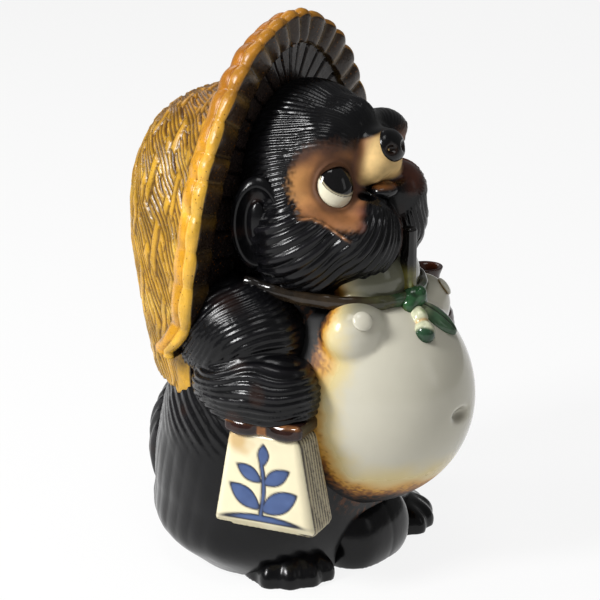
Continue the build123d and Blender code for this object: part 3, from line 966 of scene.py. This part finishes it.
def crownPaint(p, out, height):
    cuts, slots, _ = crownWeave(p)
    lump = cloud(p, 10.0, 101)
    behind = toHat(p)[:, 2] - crown["behind"]
    return layered(
        strawTones["crown"],
        (strawTones["light"], ease(0.1, 0.8, lump) * 0.5),
        (strawTones["olive"], ease(0.1, 0.7, cloud(p, 6.0, 102)) * 0.45),
        (strawTones["orange"], ease(185, 228, p[:, 2] + 10 * lump) * 0.65),
        (strawTones["brown"], ease(7.0, 9.0, behind) * np.clip(cuts ** 0.6 + slots, 0, 1)),
        # painted shade: dark where the crown tucks into the brim and on faces turned downward
        (strawTones["dark"], np.maximum(ease(0.6, -0.4, behind), ease(-0.5, -0.8, out[:, 2]))))


sculpt("hat_crown", crownField, ((-66, 14, 78), (66, 92, 236)), 0.65, crownPaint, "straw_glaze",
       crownRelief)
print("hat done")

# Account book with its bound head

book = {
    "point": (-57, -21.5, 32),
    "turn": 12.0,
    "height": 46.0,
    "bottom": (24, 50),
    "top": (20, 34),
    "leaves": (  # along, up, length, width and slant of each leaf on the face
        (-8.5, 14.5, 8.5, 4.2, 35), (8.0, 13.5, 9.5, 4.8, -30), (-6.5, 25.5, 6.5, 3.2, 30),
        (6.5, 25.0, 7.0, 3.4, -32), (0.2, 34.5, 4.8, 2.6, 90)),
}
bookTones = palette(
    page=(230, 220, 186), stain=(190, 146, 70), bottom=(178, 164, 116), blue=(58, 78, 122),
    paleBlue=(82, 104, 150), ink=(24, 28, 40), edge=(120, 104, 70), groove=(44, 34, 24),
    binding=(40, 22, 18), tie=(170, 108, 50), bindingLip=(150, 100, 60),
)


def bookMap(p):  # out from the body, along the face, up from the bottom edge
    return (p - np.array(book["point"], p.dtype)) @ axesOf(turn=book["turn"]).astype(p.dtype)


def boxDistance(q, half, round_):
    d = np.abs(q) - (np.array(half, q.dtype) - round_)
    return np.sqrt((np.maximum(d, 0) ** 2).sum(-1)) + np.minimum(d.max(-1), 0) - round_


def bookField(p):
    q = bookMap(p)
    t = np.clip(q[..., 2] / book["height"], -0.1, 1.1)
    depth = book["bottom"][0] + (book["top"][0] - book["bottom"][0]) * t
    width = book["bottom"][1] + (book["top"][1] - book["bottom"][1]) * t
    u = np.stack((q[..., 0] / depth * 22, q[..., 1] / width * 42, q[..., 2] - book["height"] / 2), axis=-1)
    f = boxDistance(u, (11, 21, book["height"] / 2), 4.2)
    bevel = (-q[..., 0] * 0.75 - q[..., 2] * 0.66) - 5.6  # the face is cut back along its bottom edge
    f = np.maximum(f, bevel)
    sag = 0.0018 * q[..., 1] ** 2
    return np.maximum(f, sag - 1.2 - q[..., 2])


def sprig(y, z):  # a plain leaf spray: distance to the brushed shape
    stem = np.abs(y - 1.5 * np.sin((z - 6) * 0.12) + 1.0) - 0.9
    shape = np.maximum(stem, np.abs(z - 20.5) - 14.5)
    for cy, cz, length, width, slant in book["leaves"]:
        a = math.radians(slant)
        u = ((y - cy) * math.cos(a) - (z - cz) * math.sin(a)) / length
        v = (y - cy) * math.sin(a) + (z - cz) * math.cos(a)
        leaf = np.hypot(u, v / (width * (1 - 0.45 * u ** 2))) - 1
        shape = np.minimum(shape, leaf * width)
    ground = np.hypot((y + 0.5) / 17.0, (z - 5.2 + 0.004 * y * y) / 1.5) - 1
    return np.minimum(shape, ground * 1.5)


def bookParts(p):  # the book's own axes, its face, its page edges and the distance to the spray
    q = bookMap(p)
    onFace = ease(-8.2, -9.4, q[:, 0])
    onEdge = ease(16, 18, np.abs(q[:, 1]) + 0.17 * q[:, 2]) * (1 - onFace)
    return q, onFace, onEdge, sprig(-q[:, 1], q[:, 2] - 1.5)


def bookRelief(p):
    q, onFace, onEdge, motif = bookParts(p)
    pages = np.cos(q[:, 0] * 2 * math.pi / 2.3 + 0.6 * np.sin(q[:, 2] * 0.12))
    return 0.35 * pages * onEdge - 0.35 * onFace * np.exp(-(motif / 0.45) ** 2)


def bookPaint(p, out, height):
    q, onFace, onEdge, motif = bookParts(p)
    stain = ease(9, 2, np.hypot(q[:, 1] - 11, (q[:, 2] - 41) * 1.2) + 2.5 * cloud(p, 4.0, 111))
    wash = 0.5 + 0.5 * cloud(p, 3.0, 113)
    blue = layered(bookTones["blue"], (bookTones["paleBlue"], wash * 0.6))
    return layered(
        bookTones["page"],
        (bookTones["stain"], stain * 0.7),
        (bookTones["bottom"], ease(1.5, -2.0, q[:, 2] + 0.5 * cloud(p, 5.0, 112))),
        (blue, onFace * ease(0.2, -0.1, motif)),
        (bookTones["ink"], onFace * np.exp(-(motif / 0.42) ** 2)),
        (bookTones["edge"], onEdge * 0.55),
        (bookTones["groove"], onEdge * ease(0.1, -0.3, height / 0.35) * 0.9))


sculpt("account_book", bookField, ((-80, -52, 29), (-36, 10, 80)), 0.6, bookPaint, "book_glaze", bookRelief)

binding = {
    "half": (11.6, 18.6, 3.4),
    "rolls": ((-8.5, -9.6, -1.2), (-8.5, 9.6, -1.2)),
    "rollHalf": (4.2, 8.0, 4.0),
}


def bindingField(p):
    u = bookMap(p) - np.array((0, 0, book["height"] + 2.4), p.dtype)
    roll = np.minimum(*(egg(u, spot, binding["rollHalf"]) for spot in binding["rolls"]))
    return join(boxDistance(u, binding["half"], 2.4), roll, 1.2)


def bindingPaint(p, out, height):
    q = bookMap(p)
    return layered(
        bookTones["binding"],
        (bookTones["tie"], ease(2.6, 1.6, np.abs(q[:, 1])) * ease(-8.0, -9.5, q[:, 0])),
        (bookTones["bindingLip"], ease(49.5, 51.0, q[:, 2]) * ease(-9.0, -11.0, q[:, 0]) * 0.7),
        (black, ease(0.0, 0.7, cloud(p, 3.0, 117)) * 0.6))


sculpt("book_binding", bindingField, ((-82, -48, 72), (-38, 6, 90)), 0.6, bindingPaint, "binding_glaze")

# Flask, thrown

flask = {
    "point": (57, -26, 74),
    "profile": (  # radius and height, up the outside and down into the mouth
        (0, 0), (9.5, 0.2), (11, 1.0), (13.6, 9), (15, 20), (13.8, 29), (9.6, 37), (6.7, 42), (6.8, 46),
        (8.0, 50), (9.0, 51.4), (8.4, 52), (6.2, 51), (5.0, 48), (5.0, 41), (0, 40)),
    "brown": paintTone(58, 30, 22),
    "rust": paintTone(96, 50, 30),
}


def makeFlask():
    knots = np.array(flask["profile"], float)
    s = np.concatenate(([0], np.cumsum(np.hypot(*np.diff(knots, axis=0).T))))
    fine = np.linspace(0, s[-1], 90)
    r = np.maximum(np.interp(fine, s, knots[:, 0]), 0.02)
    h = np.interp(fine, s, knots[:, 1])
    for _ in range(2):
        r[1:-1] = (r[:-2] + 2 * r[1:-1] + r[2:]) / 4
        h[1:-1] = (h[:-2] + 2 * h[1:-1] + h[2:]) / 4
    a = np.linspace(0, 2 * math.pi, 72, endpoint=False)
    r = (r * (1 + 0.006 * np.sin(h * 2.2)))[:, None]  # throwing rings
    p = np.stack((r * np.cos(a), r * np.sin(a), h[:, None] + 0 * a), axis=-1)
    points = p.reshape(-1, 3) + flask["point"]
    tone = layered(flask["brown"], (flask["rust"], ease(0.1, 0.7, cloud(points, 9.0, 121))))
    addPiece("flask", points, tubeFaces(*p.shape[:2]), tone, "flask_glaze", "flask")


makeFlask()

# Cord of clay round the neck, its knot, bud and leaf

cord = {
    "route": ((46, 2, 137), (42, -17, 134), (33, -35, 131.5), (20, -49, 130), (0, -57, 129.5)),
    "half": (3.3, 2.3),
}


def cordLine(sign, count):  # smooth line through the route's points
    knots = np.array(cord["route"], float) * (sign, 1, 1)
    s = np.arange(len(knots), dtype=float)
    fine = np.linspace(0, len(knots) - 1, count)
    return np.stack([throughStations(s, knots[:, k], fine) for k in range(3)], axis=-1)


cordTones = palette(
    dark=(22, 19, 17), brown=(48, 38, 26), olive=(66, 66, 42), green=(44, 74, 46), chin=(110, 104, 44),
    chinSpot=(150, 160, 90), knot=(46, 84, 52), knotSpot=(170, 176, 110), knotShade=(24, 34, 22),
    bud=(206, 208, 176), budGreen=(110, 134, 76), budWaist=(190, 140, 60), budTip=(38, 66, 46),
    leaf=(64, 92, 66), leafPale=(150, 156, 122), leafVein=(40, 52, 34),
)


def makeCord(side, sign):
    line = cordLine(sign, 120)
    ahead = np.gradient(line, axis=0)
    ahead = ahead / np.linalg.norm(ahead, axis=1, keepdims=True)
    up = np.array((0, 0, 1.0)) - ahead * ahead[:, 2:]
    up = up / np.linalg.norm(up, axis=1, keepdims=True)
    out = np.cross(ahead, up)
    a = np.linspace(0, 2 * math.pi, 24, endpoint=False)
    run = np.linspace(0, 60, len(line))
    lump = 1 + 0.05 * np.sin(run * 0.7)[:, None] + 0.03 * np.sin(run * 0.31 + 1)[:, None]
    p = (line[:, None] + up[:, None] * (np.sin(a) * cord["half"][0] * lump)[..., None]
         + out[:, None] * (np.cos(a) * cord["half"][1] * lump)[..., None])
    points = p.reshape(-1, 3)
    share = np.repeat(np.linspace(0, 1, len(line)), len(a)) + 0.12 * cloud(points, 5.0, 131)
    tone = layered(
        cordTones["dark"],
        (cordTones["brown"], ease(0.15, 0.45, share)),
        (cordTones["olive"], ease(0.6, 0.8, share)),
        (cordTones["green"], ease(0.82, 0.95, share)))
    faces = [face[::-1] for face in tubeFaces(*p.shape[:2])]
    addPiece(side + "_cord", points, faces, tone, "cord_glaze", side + "_cord")


for side, sign in sides.items():
    makeCord(side, sign)

chin = {"point": (0, -54.0, 145.0), "half": (2.8, 3.4, 16.5), "round": 1.9}


def chinField(p):
    return boxDistance(p - np.array(chin["point"], p.dtype), chin["half"], chin["round"])


def chinPaint(p, out, height):
    return layered(
        cordTones["dark"] * 0.7,
        (cordTones["chin"], ease(146, 138, p[:, 2])),
        (cordTones["chinSpot"], ease(0.2, 0.8, cloud(p, 3.0, 133)) * ease(142, 136, p[:, 2])))


sculpt("chin_cord", chinField, ((-5, -59, 127), (5, -49, 163)), 0.5, chinPaint, "cord_glaze")

knot = {
    "middle": ((0, -57, 129.5), (6.2, 5.2, 5.4)),
    "loop": ((4.6, -57.5, 127.0), (3.4, 3.4, 4.0)),
    "wrap": ((0, -60.5, 131.0), (3.2, 3.0, 4.4)),
}


def knotField(p):
    f = join(egg(p, *knot["middle"]), egg(mirrored(p), *knot["loop"]), 1.0)
    return join(f, egg(p, *knot["wrap"]), 0.8)


def knotPaint(p, out, height):
    return layered(
        cordTones["knot"],
        (cordTones["knotSpot"], ease(0.25, 0.8, cloud(p, 3.4, 135))),
        (cordTones["knotShade"], ease(0.2, 0.7, cloud(p, 4.0, 136)) * 0.8))


sculpt("cord_knot", knotField, ((-9, -66, 122), (9, -50, 138)), 0.45, knotPaint, "cord_glaze")

bud = {
    "point": (-5.5, -65, 120),
    "axes": axesOf(tilt=-47, lean=25),
    "stalk": ((0, 0, 3.6), (3.9, 3.9, 6.0)),
    "ball": ((0, 0, -4.4), (4.7, 4.7, 5.4)),
}
leaf = {"point": (6.0, -65.5, 120), "axes": axesOf(tilt=-47, lean=-25), "half": (5.8, 3.2, 11.5)}


def endMap(p, end):  # into the axes of a cord's end
    return (p - np.array(end["point"], p.dtype)) @ end["axes"].astype(p.dtype)


def budField(p):
    q = endMap(p, bud)
    return join(egg(q, *bud["stalk"]), egg(q, *bud["ball"]), 1.0)


def budPaint(p, out, height):
    q = endMap(p, bud)
    return layered(
        cordTones["bud"],
        (cordTones["budGreen"], ease(0.0, 0.7, cloud(p, 3.6, 137)) * 0.8),
        (cordTones["budWaist"], np.exp(-((q[:, 2] - 0.2) / 0.8) ** 2) * 0.7),
        (cordTones["budTip"], ease(-5.0, -7.2, q[:, 2] + 0.5 * q[:, 0])))


sculpt("cord_bud", budField, ((-16, -76, 106), (6, -54, 134)), 0.45, budPaint, "cord_glaze")


def leafField(p):
    q = endMap(p, leaf)
    tip = np.clip((q[..., 2] + 11) / 22, 0.05, 1)
    squeeze = 0.55 + 0.45 * np.sin(tip * math.pi) ** 0.6
    u = np.stack((q[..., 0] / squeeze, q[..., 1], q[..., 2]), axis=-1)
    return egg(u, (0, 0, 0), leaf["half"]) * 0.8


def leafRelief(p):
    return -0.5 * np.exp(-(endMap(p, leaf)[:, 0] / 0.6) ** 2)  # vein


def leafPaint(p, out, height):
    return layered(
        cordTones["leaf"],
        (cordTones["leafPale"], ease(2.0, 9.0, endMap(p, leaf)[:, 2]) * 0.8),
        (cordTones["leafVein"], ease(-0.1, -0.4, height)))


sculpt("cord_leaf", leafField, ((-4, -78, 104), (17, -54, 136)), 0.45, leafPaint, "cord_glaze", leafRelief)
print("cord and book done")

# Studio

studio = {
    "target": (0.0, -0.00838, 0.120),
    "azimuth": -54.0,
    "elevation": 17.0,
    "distance": 0.9,
    "lens": 117.6,
    "shift": (-0.0342, -0.0033),
    "ambient": 0.2,
    "floorGlow": 0.88,
    "floorReach": 6,
}
lamps = {  # azimuth, elevation, distance, width, height and watts
    "window": (-112, 34, 1.3, 0.32, 0.4, 18.0),
    "ceiling": (-60, 75, 1.3, 0.45, 0.45, 3.0),
    "fill": (10, 20, 1.6, 0.3, 0.7, 0.5),
    "side": (-146, 34, 1.4, 0.3, 0.5, 4.0),
    "rear": (150, 35, 1.5, 0.5, 0.5, 1.5),
}


def aim(thing, point):
    thing.rotation_euler = (Vector(point) - thing.location).to_track_quat("-Z", "Y").to_euler()


def around(azimuth, elevation, distance, target):
    a, e = math.radians(azimuth), math.radians(elevation)
    back = Vector((math.sin(a) * math.cos(e), -math.cos(a) * math.cos(e), math.sin(e)))
    return Vector(target) + back * distance


cameraData = bpy.data.cameras.new("camera")
cameraData.lens = studio["lens"]
cameraData.sensor_width = 36.0
cameraData.shift_x, cameraData.shift_y = studio["shift"]
camera = bpy.data.objects.new("camera", cameraData)
bpy.context.scene.collection.objects.link(camera)
camera.location = around(studio["azimuth"], studio["elevation"], studio["distance"], studio["target"])
aim(camera, studio["target"])
bpy.context.scene.camera = camera


def softbox(name, azimuth, elevation, distance, width, height, watts):
    data = bpy.data.lights.new(name, "AREA")
    data.shape = "RECTANGLE"
    data.size, data.size_y = width, height
    data.energy = watts
    lamp = bpy.data.objects.new(name, data)
    bpy.context.scene.collection.objects.link(lamp)
    lamp.location = around(azimuth, elevation, distance, (0, 0, 0.13))
    aim(lamp, (0, 0, 0.13))


for lampName, lampPlace in lamps.items():
    softbox(lampName, *lampPlace)

world = bpy.data.worlds.new("room")
bpy.context.scene.world = world
world.use_nodes = True
room = world.node_tree.nodes["Background"]
room.inputs["Color"].default_value = (1, 1, 1, 1)
room.inputs["Strength"].default_value = studio["ambient"]

r = studio["floorReach"]
floorMesh = bpy.data.meshes.new("floor")
floorMesh.from_pydata([(-r, -r, 0), (r, -r, 0), (r, r, 0), (-r, r, 0)], [], [(0, 1, 2, 3)])
floor = bpy.data.objects.new("floor", floorMesh)
bpy.context.scene.collection.objects.link(floor)
floorLook = bpy.data.materials.new("floor")
floorLook.use_nodes = True
floorTree = floorLook.node_tree
matt = floorTree.nodes["Principled BSDF"]
matt.inputs["Base Color"].default_value = (0.85, 0.85, 0.85, 1)
matt.inputs["Roughness"].default_value = 0.9
matt.inputs["Specular IOR Level"].default_value = 0.1
glow = addNode(floorTree, "ShaderNodeEmission", {"Strength": 1.0})
floorRays = addNode(floorTree, "ShaderNodeLightPath", {})
seen = floorRays.outputs["Is Camera Ray"]
for ray in ("Is Glossy Ray", "Is Transmission Ray"):  # the glaze mirrors the same pale floor
    either = addNode(floorTree, "ShaderNodeMath", {0: seen, 1: floorRays.outputs[ray]}, operation="MAXIMUM")
    seen = either.outputs["Value"]
share = addNode(floorTree, "ShaderNodeMath", {0: seen, 1: studio["floorGlow"]}, operation="MULTIPLY")
floorPick = addNode(floorTree, "ShaderNodeMixShader", {
    "Fac": share.outputs["Value"], 1: matt.outputs["BSDF"], 2: glow.outputs["Emission"]})
floorTree.links.new(floorPick.outputs["Shader"], floorTree.nodes["Material Output"].inputs["Surface"])
floorMesh.materials.append(floorLook)
bpy.context.scene.view_settings.view_transform = "Standard"
print("studio set")
